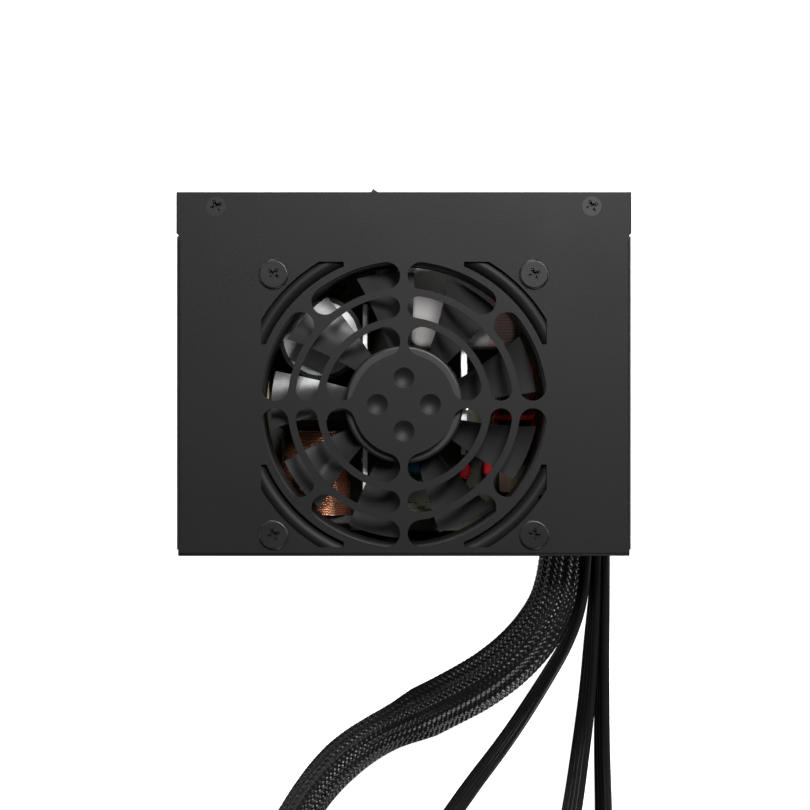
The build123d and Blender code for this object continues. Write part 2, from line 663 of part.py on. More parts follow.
def transformer():
    """Main transformer: ferrite frame and winding in a tape wrapping, on a bobbin with pins."""
    x0, x1, y0, y1, top = 2.0, 32.0, 8.0, 31.0, 42.0
    low = board_top + 3.0
    wall, bar, gap = 0.8, 4.5, 0.1
    inset = wall + gap
    middle_x, middle_y = (x0 + x1) / 2, (y0 + y1) / 2
    wrap = block(x0, x1, y0, y1, low, top)
    wrap = fillet(wrap.edges().filter_by(Axis.Z), 3.0)
    wrap = fillet(wrap.edges().group_by(Axis.Z)[-1], 1.5)
    wrap -= block(x0 + wall, x1 - wall, y0 + wall, y1 - wall, low - 1, top - wall)
    core_top = top - inset
    sides = (y0 + 4, y1 - 4)
    core = block(x0 + inset, x1 - inset, *sides, low, low + bar)
    core += block(x0 + inset, x1 - inset, *sides, core_top - bar, core_top)
    for left in (x0 + inset, x1 - inset - bar):
        core += block(left, left + bar, *sides, low, core_top)
    core += post(middle_x, middle_y, low, core_top, 5.0)
    winding = post(middle_x, middle_y, low + bar, core_top - bar, 9.4)
    winding -= post(middle_x, middle_y, low, core_top, 5.0)
    bobbin = block(x0 + 3, x1 - 3, y0, y1, board_top + 1.2, low)
    pins = []
    for index in range(6):
        for y in (y0 + 1.5, y1 - 1.5):
            pins.append(post(x0 + 5 + index * 4, y, board_top, board_top + 1.2, 0.4))
    write("transformer_core", core)
    write("transformer_winding", winding, wrap)
    return bobbin, pins


def ring_coil(place, radius, tube, turns, wire, start, end):
    """Wire loops about a ring whose axis is the place's Z, as separate short turns."""
    wide, tall = tube
    outer = RectangleRounded(wide + 2 * wire, tall + 2 * wire, wire + 0.5)
    inner = RectangleRounded(wide, tall, 0.5)
    loops = []
    for index in range(turns):
        angle = math.radians(start + (end - start) * index / (turns - 1))
        across = (math.cos(angle), math.sin(angle), 0)
        plane = Plane(origin=Vector(*across) * radius, x_dir=across, z_dir=(-across[1], across[0], 0))
        loops.append(place * extrude(plane * (outer - inner), wire / 2, both=True))
    return loops


def output_choke():
    """Output toroid standing on its edge, with red enamelled wire."""
    x, y, z = 32.0, -8.0, 23.0
    inner, outer, thick, wire = 6.4, 10.8, 9.0, 1.2
    clear = 0.15
    place = Location((x, y, z), (0, 90, 0))
    core = place * (Cylinder(outer, thick) - Cylinder(inner, thick + 1))
    tube = (outer - inner + 2 * clear, thick + 2 * clear)
    foot_top = z - outer - clear - wire - 0.05
    support = block(x - 4, x + 4, y - 6, y + 6, board_top, foot_top)
    write("output_choke_winding", *ring_coil(place, (inner + outer) / 2, tube, 18, wire, 0, 340))
    return core, support


def line_filter():
    """Line choke, X capacitor, Y capacitors, fuse, thermistor and bridge rectifier."""
    core = post(-48, 12.2, 13, 27, 9.0) - post(-48, 12.2, 12, 28, 4.6)
    centre = Location((-48, 12.2, 20))
    write("line_choke_winding", *ring_coil(centre, 6.8, (4.9, 14.3), 9, 0.9, 20, 160),
          *ring_coil(centre, 6.8, (4.9, 14.3), 9, 0.9, 200, 340))
    x_cap = block(-57, -39.5, -8, 2, board_top, 24)
    write("x_capacitor", fillet(x_cap.edges().filter_by(Axis.Z), 1.0))
    discs = []
    for x, y, z, radius in ((2.7, -27, 16.0, 4.2), (-46, -15, 15.5, 4.0), (-53, -15, 15.5, 4.0)):
        disc = Location((x, y, z)) * Rotation(90, 0, 0) * Cylinder(radius, 3.2)
        disc = fillet(disc.edges(), 1.2)
        for offset in (-2.5, 2.5):
            disc += post(x + offset, y, board_top, z - 1, 0.35)
        discs.append(disc)
    write("y_capacitors", *discs)
    tube = rod((-56, -25, 14), (-42, -25, 14), 2.6)
    fuse = [tube, rod((-58, -25, 14), (-56, -25, 14), 2.8), rod((-42, -25, 14), (-40, -25, 14), 2.8)]
    write("fuse", *fuse)
    thermistor = Location((-48, -34, 17)) * Rotation(90, 0, 0) * Cylinder(6.0, 4.5)
    thermistor = fillet(thermistor.edges(), 1.5)
    legs = post(-51, -34, board_top, 13, 0.4) + post(-45, -34, board_top, 13, 0.4)
    write("thermistor", thermistor + legs)
    bridge = block(-57.5, -54.2, 22.5, 37, board_top + 4, board_top + 11.8)
    for y in (24, 28, 32, 36):
        bridge += block(-56.2, -55.4, y - 0.5, y + 0.5, board_top, board_top + 4)
    write("bridge_rectifier", bridge)
    return core


def small_parts():
    """Output capacitors, film parts, control board, standby transformer and pins."""
    places = ((46, -34.5, 5.0), (36.3, -37, 4.4), (52, -24, 5.0), (52, -10, 4.0), (51, 3, 4.0), (4, -14, 4.0))
    write("output_capacitors", *[can(x, y, radius, board_top + 16 + radius) for x, y, radius in places])
    films = []
    for x, y in ((18.0, -28.0), (25.2, -27.2)):
        film = block(x - 1.7, x + 1.7, y - 2.4, y + 2.4, board_top, board_top + 7)
        film = fillet(film.edges().filter_by(Axis.Z), 1.5)
        films.append(fillet(film.edges().group_by(Axis.Z)[-1], 1.0))
    write("film_capacitors", *films)
    tall = block(28, 31.5, -34, -26, board_top, board_top + 12)
    pins = [post(19.5 + 2.54 * i, -33, board_top, board_top + 3, 0.5) for i in range(3)]
    pins.append(block(16.9, 18.3, -23.2, -20.6, board_top, board_top + 7))
    control = block(-3, 13, -40, -38.4, board_top, 36)
    chips = [block(-1 + 7 * i, 4 + 7 * i, -38.4, -36.8, 24, 31) for i in range(2)]
    write("control_board", control, *chips)
    standby = block(40, 55, 10, 27, board_top, 29)
    standby -= block(39, 42.5, 9, 28, 14, 25) + block(52.5, 56, 9, 28, 14, 25)
    write("standby_transformer", standby)
    relay = block(-2, 0.5, 22, 40, board_top, 25)
    write("relays", fillet(relay.edges().filter_by(Axis.Z), 0.5), fillet(tall.edges().filter_by(Axis.Z), 0.8))
    return pins


def inner_wires():
    """Mains wires, earth lead, fan lead and the output wires up to the lead hole."""
    floor = rear_out + inlet_flange_thick - inlet_recess_depth - inlet_floor
    line = floor - 7
    back = rear_out - switch_depth - 8
    wire = 1.1
    mains = [post(inlet_x + side * pin_spacing / 2, line - wire - 0.05, board_top, panel_z, wire)
             for side in (-1, 1)]
    mains += [post(switch_x + side * 5, back - wire - 0.05, board_top, panel_z + 2, wire)
              for side in (-1, 1)]
    mains.append(post(inlet_x, line - wire - 0.05, board_top, panel_z + earth_offset, wire))
    write("mains_wires", *mains)
    corner = fan_size / 2 - 1.2
    fan_lead = rod((corner + 3.5, fan_y + corner, fan_bottom + 2), (corner + 3.5, fan_y + corner, board_top), 1.0)
    fan_lead += rod((corner + 3.5, fan_y + corner, fan_bottom + 2), (corner + 1.2, fan_y + corner, fan_bottom + 2), 1.0)
    write("fan_lead", fan_lead)
    wires = []
    for column in range(7):
        x = 40.6 + 3.2 * column
        wires.append(rod((x, 1.3 - lead_start, 29.0), (x, 2.3 - lead_start, board_top + 0.1), 1.2))
    write("output_wires", *wires)


# ---------------------------------------------------------------- leads and their connectors
def grommet():
    """Snap-in plastic frame of the lead hole."""
    size = (exit_hole[0] + 2 * grommet_lip, exit_hole[1] + 2 * grommet_lip)
    clear = (exit_hole[0] - 2 * grommet_wall, exit_hole[1] - 2 * grommet_wall)
    outer = panel_shape(exit_x, exit_z, size, front_wall_out - grommet_flange, front_wall_out, 6.0)
    neck = panel_shape(exit_x, exit_z, exit_hole, front_wall_out, front_wall_in, 5.0)
    inside = panel_shape(exit_x, exit_z, size, front_wall_in, front_wall_in + 1.2, 6.0)
    ring = outer + neck + inside
    return ring - panel_shape(exit_x, exit_z, clear, front_wall_out - 5, front_wall_in + 5, 4.0)


pitch = 4.2               # pitch of the power connectors' ways
way_wall = 0.6
housing_depth = 14.5
floor_gap = 0.2           # under a connector
latch_gap = 0.35
latch_pivot_rise = 0.7    # pivot above the housing
latch_size = (3.0, 10.5, 1.4)   # width, length, thickness of a latch lever


def connector_frame(route, tall):
    """A frame at a route's end, half a connector's height above the floor: X ahead, Y across, Z up."""
    before, end = Vector(*route[-2]), Vector(*route[-1])
    forward = Vector(end.X - before.X, end.Y - before.Y, 0).normalized()
    return Plane(origin=(end.X, end.Y, tall / 2 + floor_gap), x_dir=forward, z_dir=(0, 0, 1))


def power_housing(columns, rows, shift=0.0):
    """Nylon housing in its own frame: mouth ahead, wires enter behind, floor below."""
    wide, tall = columns * pitch + way_wall, rows * pitch + way_wall
    body = Location((housing_depth / 2, shift, 0)) * Box(housing_depth, wide, tall)
    first_y = shift - (columns - 1) * pitch / 2
    first_z = -(rows - 1) * pitch / 2
    way = pitch - way_wall
    for column in range(columns):
        for row in range(rows):
            centre = (housing_depth - 3.5, first_y + column * pitch, first_z + row * pitch)
            body -= Location(centre) * Box(9.0, way, way)
    return body


def latch(columns_shift, rows):
    """Latch lever above a housing, in the connector's frame, hinged at its pivot's height."""
    top = rows * pitch / 2 + way_wall / 2
    wide, long, thick = latch_size
    low = top + latch_gap + 0.9
    lever = Location((housing_depth - long / 2, columns_shift, low + thick / 2)) * Box(long, wide, thick)
    hook = Location((housing_depth - 0.9, columns_shift, low - 0.4)) * Box(1.8, wide, 0.9)
    pivot_z = top + latch_pivot_rise
    pin = Location((latch_pivot_x(), columns_shift, pivot_z)) * Rotation(90, 0, 0) * Cylinder(0.6, wide)
    web = Location((latch_pivot_x(), columns_shift, pivot_z + 0.5)) * Box(0.8, wide, 1.0)
    return lever + hook + pin + web


def latch_pivot_x():
    """Distance of a latch's pivot from the back of its housing."""
    return housing_depth - latch_size[1] * 0.55


def connectors():
    """Connectors on the ends of the leads, with their latch levers."""
    tall = 2 * pitch + way_wall
    main_end = connector_frame(main_route, tall)
    write("connector_24", main_end * power_housing(12, 2))
    write("latch_24", main_end * latch(0, 2))
    cpu_end = connector_frame(cpu_route, tall)
    half = pitch + way_wall / 2 + 0.05
    write("connector_cpu", *[cpu_end * power_housing(2, 2, side * half) for side in (-1, 1)])
    write("latch_cpu_a", cpu_end * latch(-half, 2))
    write("latch_cpu_b", cpu_end * latch(half, 2))
    pcie_end = connector_frame(pcie_route, tall)
    write("connector_pcie", pcie_end * power_housing(3, 2, -pitch / 2 - 0.05),
          pcie_end * power_housing(1, 2, 1.5 * pitch + way_wall + 0.05))
    write("latch_pcie", pcie_end * latch(-pitch / 2 - 0.05, 2))
    sata_end = connector_frame(sata_route, tall)
    inline = Plane(origin=(inline_at[0], inline_at[1], sata_route[-1][2]), x_dir=(-1, 0.04, 0), z_dir=(0, 0, 1))
    ribbon = sweep_round(sata_route, ribbon_tube / 2, "")
    inline_housing = inline * (Location((-4.5, 0, 0)) * sata_housing(7.4)) - ribbon
    write("connectors_sata", sata_end * sata_housing(), inline_housing)
    pivots = (("24", main_end, 0), ("cpu_a", cpu_end, -half), ("cpu_b", cpu_end, half),
              ("pcie", pcie_end, -pitch / 2 - 0.05))
    for name, frame, shift in pivots:
        local = Location((latch_pivot_x(), shift, tall / 2 + latch_pivot_rise))
        place = (Location(frame) * local).position
        print("latch", name, "pivot", [round(value, 3) for value in place],
              "axis", [round(value, 5) for value in frame.y_dir])


def sata_housing(tall=6.0):
    """Flat drive connector with its L-shaped slot, in the connector's frame."""
    body = Location((4.5, 0, 0)) * Box(9.0, 24.0, tall)
    body -= Location((7.0, 0, 0.4)) * Box(6.0, 21.6, 2.2)
    body -= Location((7.0, 10.0, -0.9)) * Box(6.0, 1.5, 2.2)
    return body


def leads():
    """The four free leads."""
    write("main_cable", sweep_round(main_route, main_dia / 2, "main_cable"))
    for node, route in (("cpu_cable", cpu_route), ("pcie_cable", pcie_route), ("sata_cable", sata_route)):
        write(node, sweep_round(route, ribbon_tube / 2, node))


def main():
    """Build and write every node."""
    os.makedirs("parts", exist_ok=True)
    write("top_cover", top_cover())
    write("bottom_tray", bottom_tray())
    write("cover_screws", *cover_screws())
    write("fan_screws", *fan_screws())
    write("fan_frame", fan_frame())
    write("fan_rotor", fan_rotor())
    fan_inner()
    inlet()
    switch()
    board_screws = board()
    bulk_capacitor()
    clamp_screws = heatsinks()
    write("inner_screws", *board_screws, *clamp_screws)
    choke_foot = boost_choke()
    bobbin, bobbin_pins = transformer()
    output_core, output_foot = output_choke()
    write("ring_cores", output_core, line_filter())
    write("coil_bases", choke_foot, bobbin, output_foot)
    write("board_pins", *small_parts(), *bobbin_pins)
    inner_wires()
    write("cable_grommet", grommet())
    leads()
    connectors()


main()
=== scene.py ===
import math

import bpy
import numpy as np
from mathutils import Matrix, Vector


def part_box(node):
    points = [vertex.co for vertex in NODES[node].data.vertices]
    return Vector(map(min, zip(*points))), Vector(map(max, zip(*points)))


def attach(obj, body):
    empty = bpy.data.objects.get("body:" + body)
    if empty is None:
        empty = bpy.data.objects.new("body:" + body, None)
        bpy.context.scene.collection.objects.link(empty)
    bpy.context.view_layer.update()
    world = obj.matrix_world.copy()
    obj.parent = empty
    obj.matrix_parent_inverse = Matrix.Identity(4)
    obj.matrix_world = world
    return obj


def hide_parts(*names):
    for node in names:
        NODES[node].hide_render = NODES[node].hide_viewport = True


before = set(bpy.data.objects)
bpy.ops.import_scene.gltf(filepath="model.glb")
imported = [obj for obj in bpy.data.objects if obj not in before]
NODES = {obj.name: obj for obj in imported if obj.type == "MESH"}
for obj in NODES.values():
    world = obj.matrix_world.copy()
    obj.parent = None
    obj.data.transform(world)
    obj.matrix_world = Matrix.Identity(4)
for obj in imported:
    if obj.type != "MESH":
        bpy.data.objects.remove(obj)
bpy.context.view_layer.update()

MM = 0.001


# ------------------------------------------------------------------ helpers
def new_object(name, mesh):
    """Link a mesh or curve as a piece."""
    obj = bpy.data.objects.new(name, mesh)
    bpy.context.scene.collection.objects.link(obj)
    return obj


def mesh_piece(name, points, faces, material, smooth=True):
    """A piece from points in metres and faces."""
    mesh = bpy.data.meshes.new(name)
    mesh.from_pydata([tuple(p) for p in points], [], faces)
    mesh.materials.append(material)
    mesh.polygons.foreach_set("use_smooth", [smooth] * len(mesh.polygons))
    mesh.update()
    return new_object(name, mesh)


def grid_faces(rings, around):
    """Quads between closed rings of points, with one polygon over each end."""
    faces = []
    for i in range(rings - 1):
        for j in range(around):
            k = (j + 1) % around
            a, b = i * around, (i + 1) * around
            faces.append((a + j, a + k, b + k, b + j))
    faces.append(tuple(range(around))[::-1])
    faces.append(tuple((rings - 1) * around + j for j in range(around)))
    return faces


# ------------------------------------------------------------------ materials
BUMP_DEPTH = 0.05 * MM
COAT_ROUGHNESS = 0.15
HUB_RADIUS = 16.35 * MM  # of the fan: the blades begin just outside it
# paler than the hub's colour: a painted highlight on the blades
BLADE_COLOR_PAINTED_HIGHLIGHT = (0.033, 0.033, 0.0335, 1)
BLADE_ROUGHNESS = 0.27


def material(name, color, rough=0.5, metal=0.0, grain=0.0, grain_mm=0.4, mottle=0.15,
             mottle_mm=12.0, rough_spread=0.08, coat=0.0, specular=0.5, stretch=(1, 1, 1)):
    """Principled material with a fine grain in its bump and slow variation in colour and gloss."""
    mat = bpy.data.materials.new(name)
    mat.use_nodes = True
    tree = mat.node_tree
    shader = tree.nodes["Principled BSDF"]
    shader.inputs["Metallic"].default_value = metal
    shader.inputs["Specular IOR Level"].default_value = specular
    shader.inputs["Coat Weight"].default_value = coat
    shader.inputs["Coat Roughness"].default_value = COAT_ROUGHNESS
    coords = tree.nodes.new("ShaderNodeTexCoord")
    mapping = tree.nodes.new("ShaderNodeMapping")
    mapping.inputs["Scale"].default_value = stretch
    tree.links.new(coords.outputs["Object"], mapping.inputs["Vector"])
    slow = tree.nodes.new("ShaderNodeTexNoise")
    slow.inputs["Scale"].default_value = 1.0 / (mottle_mm * MM)
    slow.inputs["Detail"].default_value = 3.0
    tree.links.new(mapping.outputs["Vector"], slow.inputs["Vector"])
    shade = tree.nodes.new("ShaderNodeMix")
    shade.data_type = "RGBA"
    shade.inputs["A"].default_value = (*[c * (1 - mottle) for c in color], 1)
    shade.inputs["B"].default_value = (*[min(1, c * (1 + mottle)) for c in color], 1)
    tree.links.new(slow.outputs["Fac"], shade.inputs["Factor"])
    tree.links.new(shade.outputs["Result"], shader.inputs["Base Color"])
    gloss = tree.nodes.new("ShaderNodeMapRange")
    gloss.inputs["To Min"].default_value = max(0.02, rough - rough_spread)
    gloss.inputs["To Max"].default_value = min(1.0, rough + rough_spread)
    tree.links.new(slow.outputs["Fac"], gloss.inputs["Value"])
    tree.links.new(gloss.outputs["Result"], shader.inputs["Roughness"])
    if grain > 0:
        fine = tree.nodes.new("ShaderNodeTexNoise")
        fine.inputs["Scale"].default_value = 1.0 / (grain_mm * MM)
        fine.inputs["Detail"].default_value = 2.0
        tree.links.new(mapping.outputs["Vector"], fine.inputs["Vector"])
        bump = tree.nodes.new("ShaderNodeBump")
        bump.inputs["Strength"].default_value = grain
        bump.inputs["Distance"].default_value = BUMP_DEPTH
        tree.links.new(fine.outputs["Fac"], bump.inputs["Height"])
        tree.links.new(bump.outputs["Normal"], shader.inputs["Normal"])
    return mat


def striped(name, base, stripe, pitch_mm, axis, share, from_x_mm):
    """Material with thin stripes across one axis, beyond a place in X: the edges of wound tape."""
    mat = material(name, base, rough=0.45, grain=0.3, grain_mm=0.6)
    tree = mat.node_tree
    shader = tree.nodes["Principled BSDF"]
    coords = tree.nodes.new("ShaderNodeTexCoord")
    split = tree.nodes.new("ShaderNodeSeparateXYZ")
    tree.links.new(coords.outputs["Object"], split.inputs["Vector"])
    scale = tree.nodes.new("ShaderNodeMath")
    scale.operation = "MULTIPLY"
    scale.inputs[1].default_value = 1.0 / (pitch_mm * MM)
    tree.links.new(split.outputs[axis], scale.inputs[0])
    cycle = tree.nodes.new("ShaderNodeMath")
    cycle.operation = "FRACT"
    tree.links.new(scale.outputs[0], cycle.inputs[0])
    edge = tree.nodes.new("ShaderNodeMath")
    edge.operation = "LESS_THAN"
    edge.inputs[1].default_value = share
    tree.links.new(cycle.outputs[0], edge.inputs[0])
    beyond = tree.nodes.new("ShaderNodeMath")
    beyond.operation = "GREATER_THAN"
    beyond.inputs[1].default_value = from_x_mm * MM
    tree.links.new(split.outputs["X"], beyond.inputs[0])
    both = tree.nodes.new("ShaderNodeMath")
    both.operation = "MULTIPLY"
    tree.links.new(edge.outputs[0], both.inputs[0])
    tree.links.new(beyond.outputs[0], both.inputs[1])
    mix = tree.nodes.new("ShaderNodeMix")
    mix.data_type = "RGBA"
    mix.inputs["B"].default_value = (*stripe, 1)
    source = shader.inputs["Base Color"].links[0].from_socket
    tree.links.new(source, mix.inputs["A"])
    tree.links.new(both.outputs[0], mix.inputs["Factor"])
    tree.links.new(mix.outputs["Result"], shader.inputs["Base Color"])
    return mat


def fan_plastic():
    """Fan plastic: textured on the hub, smoother on the blades around it, whose paler base colour is a
    painted highlight.
    """
    mat = material("fan plastic", (0.012, 0.0122, 0.0128), 0.42, grain=0.12, grain_mm=0.5, mottle=0.1,
                   specular=0.4)
    tree = mat.node_tree
    shader = tree.nodes["Principled BSDF"]
    low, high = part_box("fan_rotor")
    coords = tree.nodes.new("ShaderNodeTexCoord")
    centred = tree.nodes.new("ShaderNodeVectorMath")
    centred.operation = "SUBTRACT"
    centred.inputs[1].default_value = ((low.x + high.x) / 2, (low.y + high.y) / 2, 0)
    tree.links.new(coords.outputs["Object"], centred.inputs[0])
    level = tree.nodes.new("ShaderNodeVectorMath")
    level.operation = "MULTIPLY"
    level.inputs[1].default_value = (1, 1, 0)
    tree.links.new(centred.outputs["Vector"], level.inputs[0])
    radius = tree.nodes.new("ShaderNodeVectorMath")
    radius.operation = "LENGTH"
    tree.links.new(level.outputs["Vector"], radius.inputs[0])
    blades = tree.nodes.new("ShaderNodeMath")
    blades.operation = "GREATER_THAN"
    blades.inputs[1].default_value = HUB_RADIUS
    tree.links.new(radius.outputs["Value"], blades.inputs[0])
    # the blades' paler base colour is a painted highlight; their lower roughness is real
    for socket, value in (("Base Color", BLADE_COLOR_PAINTED_HIGHLIGHT), ("Roughness", (*[BLADE_ROUGHNESS] * 3, 1))):
        mix = tree.nodes.new("ShaderNodeMix")
        mix.data_type = "RGBA"
        mix.inputs["B"].default_value = value
        tree.links.new(shader.inputs[socket].links[0].from_socket, mix.inputs["A"])
        tree.links.new(blades.outputs[0], mix.inputs["Factor"])
        tree.links.new(mix.outputs["Result"], shader.inputs[socket])
    return mat


POWDER = material("powder coat", (0.0045, 0.0045, 0.0048), 0.47, grain=0.5, grain_mm=0.3, mottle=0.06,
                  mottle_mm=30, specular=0.22)
SCREW = material("black screw", (0.009, 0.009, 0.0095), 0.34, grain=0.2, grain_mm=0.3, specular=0.3)
FAN = fan_plastic()
FAN_FRAME = material("fan frame plastic", (0.009, 0.009, 0.0095), 0.5, grain=0.12, grain_mm=0.5,
                     specular=0.22)
BLACK = material("black plastic", (0.009, 0.009, 0.0095), 0.42, grain=0.25, grain_mm=0.25, specular=0.35)
ROCKER = material("rocker plastic", (0.008, 0.008, 0.0085), 0.28, grain=0.1, grain_mm=0.3, specular=0.4)
CONNECTOR = material("nylon", (0.009, 0.009, 0.0095), 0.4, grain=0.3, grain_mm=0.3, specular=0.4)
STEEL = material("zinc steel", (0.62, 0.62, 0.6), 0.3, metal=1.0, grain=0.2, grain_mm=0.3)
NICKEL = material("tinned metal", (0.72, 0.71, 0.68), 0.22, metal=1.0, grain=0.15, grain_mm=0.4)
ALUMINIUM = material("aluminium", (0.9, 0.91, 0.92), 0.34, metal=0.9, grain=0.3, grain_mm=0.25,
                     stretch=(1, 8, 1))
CAN = material("capacitor can", (0.5, 0.51, 0.52), 0.4, metal=0.9, grain=0.2, grain_mm=0.25)
FERRITE = material("ferrite", (0.02, 0.02, 0.022), 0.5, grain=0.5, grain_mm=0.3)
BRASS = material("sintered bronze", (0.55, 0.38, 0.2), 0.4, metal=1.0, grain=0.3, grain_mm=0.2)
COPPER = material("enamelled copper", (0.6, 0.27, 0.16), 0.26, metal=0.8, mottle=0.2, mottle_mm=5,
                  coat=0.4)
RED_WIRE = material("red enamel", (0.6, 0.03, 0.03), 0.22, metal=0.3, mottle=0.25, mottle_mm=4, coat=0.6)
BOARD = material("circuit board", (0.045, 0.05, 0.022), 0.45, grain=0.35, grain_mm=0.8, mottle=0.3,
                 mottle_mm=5)
FILM = material("insulating film", (0.02, 0.02, 0.02), 0.6, grain=0.1)
SLEEVE = material("shrink sleeve", (0.012, 0.012, 0.014), 0.25, mottle=0.1, coat=0.3)
TAPE = striped("wound tape", (0.36, 0.35, 0.345), (0.5, 0.16, 0.13), pitch_mm=0.85, axis="Y", share=0.4,
               from_x_mm=24.0)
CREAM = material("film capacitor", (0.72, 0.62, 0.38), 0.35, mottle=0.08)
BLUE = material("blue epoxy", (0.01, 0.27, 0.48), 0.22, grain=0.2, grain_mm=1.5, coat=0.3)
RED = material("red epoxy", (0.6, 0.012, 0.02), 0.22, mottle=0.1, coat=0.4)
GREEN = material("thermistor epoxy", (0.03, 0.06, 0.035), 0.35, grain=0.2, grain_mm=1.2)
BROWN = material("brown phenolic", (0.13, 0.07, 0.04), 0.4, grain=0.2)
GLASS = material("fuse tube", (0.7, 0.7, 0.68), 0.12, mottle=0.05)
WIRE = material("wire insulation", (0.007, 0.007, 0.0075), 0.34, grain=0.1, grain_mm=1.0)
BRAID = material("braid filament", (0.0035, 0.0035, 0.0038), 0.3, mottle=0.25, mottle_mm=3, rough_spread=0.1)
COLLAR = material("shrink collar", (0.006, 0.006, 0.0065), 0.45, grain=0.3, grain_mm=1.5)
RIBBON = material("ribbon insulation", (0.004, 0.004, 0.0042), 0.36, grain=0.12, grain_mm=0.7, mottle=0.12)

NODE_MATERIALS = {
    POWDER: "top_cover bottom_tray",
    SCREW: "cover_screws fan_screws",
    FAN: "fan_rotor",
    FAN_FRAME: "fan_frame",
    BLACK: "ac_inlet_body switch_body power_transistors coil_bases bridge_rectifier cable_grommet",
    ROCKER: "switch_rocker",
    CONNECTOR: "connector_24 connector_cpu connector_pcie connectors_sata latch_24 latch_cpu_a"
               " latch_cpu_b latch_pcie",
    STEEL: "fan_shaft inner_screws",
    NICKEL: "ac_inlet_pins switch_terminals board_standoffs board_pins",
    ALUMINIUM: "primary_heatsink secondary_heatsink",
    CAN: "bulk_capacitor",
    FERRITE: "fan_magnet boost_choke_core ring_cores standby_transformer",
    BRASS: "fan_bearing",
    COPPER: "fan_stator boost_choke_winding line_choke_winding",
    RED_WIRE: "output_choke_winding",
    BOARD: "main_board control_board",
    FILM: "insulating_sheet",
    SLEEVE: "bulk_capacitor_sleeve output_capacitors",
    TAPE: "transformer_core transformer_winding",
    CREAM: "x_capacitor",
    BLUE: "y_capacitors",
    RED: "film_capacitors",
    GREEN: "thermistor",
    BROWN: "relays",
    GLASS: "fuse",
    WIRE: "mains_wires fan_lead output_wires",
    BRAID: "main_cable",
    RIBBON: "cpu_cable pcie_cable sata_cable",
}


def dress_nodes():
    """Give every CAD node its material."""
    for mat, names in NODE_MATERIALS.items():
        for name in names.split():
            data = NODES[name].data
            data.materials.clear()
            data.materials.append(mat)


# ------------------------------------------------------------------ leads
# Sizes and places of the leads are in mm.
LINE_RESOLUTION = 24      # points of a lead's line for each point of its route
CONNECTOR_MIDDLE = 4.7    # height of a connector's middle above the floor
FLOOR_GAP = 0.02          # least height of a lead above the floor
RIBBON_CORES = 4
CORE_PITCH = 2.3
CORE_RADIUS = 1.2
RIDGE_STEPS = 6           # edges round the back of each conductor
RIDGE_VALLEY = 28         # degrees from level to where a ridge's back meets its neighbour's
RIBBON_STEP = 1.5         # between a flat lead's outlines
RIBBON_FAN = 16.0         # before a connector, where a flat lead parts into its wires
RIBBON_NECK = 0.3         # share of its width that is left there
MAIN_ROUTE = [
    (46.3, -44.0, 27.8), (45.7, -60.2, 27.8), (39.8, -74.2, 26.0), (27.2, -87.6, 20.8),
    (8.3, -98.9, 12.8), (-12.3, -109.3, 7.6), (-25.7, -121.8, 6.6), (-36.8, -140.3, 6.6),
    (-56.0, -157.0, 6.6), (-84.0, -166.5, 6.6), (-116.0, -168.0, 6.6), (-150.0, -164.0, 6.6),
    (-172.0, -165.0, 5.8), (-184.0, -165.5, 4.9),
]


def route_line(name, points):
    """Points along the smooth line that a list of route points controls, in metres."""
    curve = bpy.data.curves.new(name, "CURVE")
    curve.dimensions = "3D"
    spline = curve.splines.new("NURBS")
    spline.points.add(len(points) - 1)
    for target, point in zip(spline.points, points):
        target.co = (*[value * MM for value in point], 1)
    spline.order_u = 3
    spline.use_endpoint_u = True
    curve.resolution_u = LINE_RESOLUTION
    holder = new_object(name, curve)
    bpy.context.view_layer.update()
    graph = bpy.context.evaluated_depsgraph_get()
    mesh = bpy.data.meshes.new_from_object(holder.evaluated_get(graph))
    line = np.array([tuple(v.co) for v in mesh.vertices])
    bpy.data.objects.remove(holder)
    bpy.data.curves.remove(curve)
    bpy.data.meshes.remove(mesh)
    return line


def resample(line, stations):
    """Positions and directions at distances along a line."""
    reach = 0.4 * MM
    steps = np.linalg.norm(np.diff(line, axis=0), axis=1)
    along = np.concatenate([[0], np.cumsum(steps)])
    places = np.stack([np.interp(stations, along, line[:, k]) for k in range(3)], 1)
    ahead = np.stack([np.interp(stations + reach, along, line[:, k]) for k in range(3)], 1)
    behind = np.stack([np.interp(stations - reach, along, line[:, k]) for k in range(3)], 1)
    direction = ahead - behind
    return places, direction / np.linalg.norm(direction, axis=1)[:, None]


def line_length(line):
    return float(np.linalg.norm(np.diff(line, axis=0), axis=1).sum())


def side_frames(direction):
    """For each direction, a level sideways vector and the upward vector square to both."""
    side = np.cross(direction, np.array([0.0, 0.0, 1.0]))
    side /= np.linalg.norm(side, axis=1)[:, None]
    return side, np.cross(side, direction)


BRAID_STRANDS = 26        # strands each way round
BRAID_PITCH = 1.75        # along the lead from one crossing to the next
BRAID_RELIEF = 0.26       # half height of a strand
BRAID_WAVE = 0.3          # rise and fall of a strand over its neighbours
STRAND_ARCH = 0.92        # how round a strand's back is: 1 is a half circle
STRAND_POINTS = 7         # points around the lead for each strand
CROSSING_RINGS = (6, 3)   # rings of points for each crossing, where the mesh is fine and beyond
FINE_LENGTH = 132.0       # of the lead that is meshed finely
WIRE_CORE = 2.6           # radius of the wires' core beyond the sleeve's end
MAIN_WIDTHS = [
    (0, 12.4), (9, 12.5), (15, 12.8), (21, 13.4), (29, 14.3), (37, 14.9), (47, 15.6), (58, 16.0), (76, 15.5),
    (80, 14.3), (84, 13.0), (88, 12.2), (94, 12.0), (100, 12.2), (106, 12.4), (112, 12.1), (119, 11.8),
    (240, 12.2), (258, 11.6),
]
MAIN_FLATNESS = [(0, 1.0), (20, 0.92), (50, 0.84), (95, 0.86), (130, 0.95)]
FAN_OUT = 30.0            # before the connector, where the sleeve ends and its wires spread
SLEEVE_END = 2.0          # length over which the sleeve's end closes on the core
CORE_RINGS = 12           # rings of points along the core
COLLAR_LENGTH = 18.0
COLLAR_OVERHANG = 3.0     # beyond the sleeve's end
COLLAR_RADIUS = 5.75      # of its near rim
